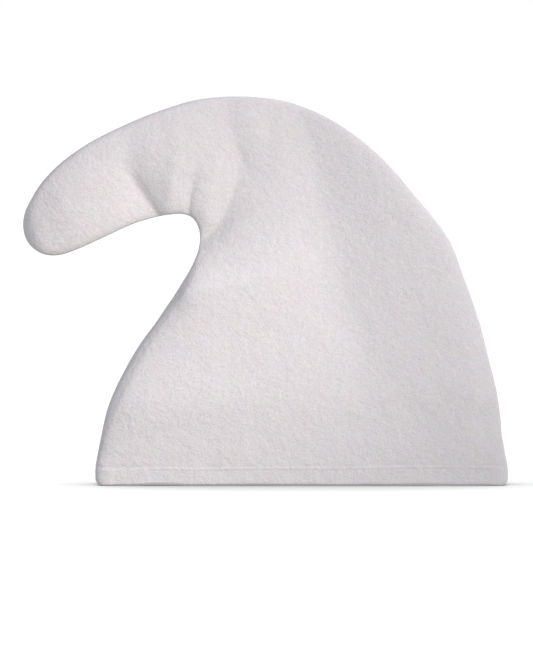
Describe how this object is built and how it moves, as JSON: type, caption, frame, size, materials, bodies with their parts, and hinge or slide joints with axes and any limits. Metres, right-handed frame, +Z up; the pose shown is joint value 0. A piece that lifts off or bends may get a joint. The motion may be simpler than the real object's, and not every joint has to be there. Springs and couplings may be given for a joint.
{
  "type": "gnome hat",
  "caption": "White felt gnome hat of sewn side panels, open at the rim for the head, with its peak curled forward and a turned-up hem.",
  "frame": {"origin": "on the surface that the rim rests on, below the middle of the hat's length and width", "axes": "+Z up out of the rim, -X the way the peak curls, +Y from the left panel to the right panel"},
  "size_m": [0.3171, 0.0591, 0.254],
  "materials": {
    "felt": "matt needle-punched white felt"
  },
  "bodies": {
    "root": {"left_panel": "felt", "right_panel": "felt"}
  },
  "joints": []
}
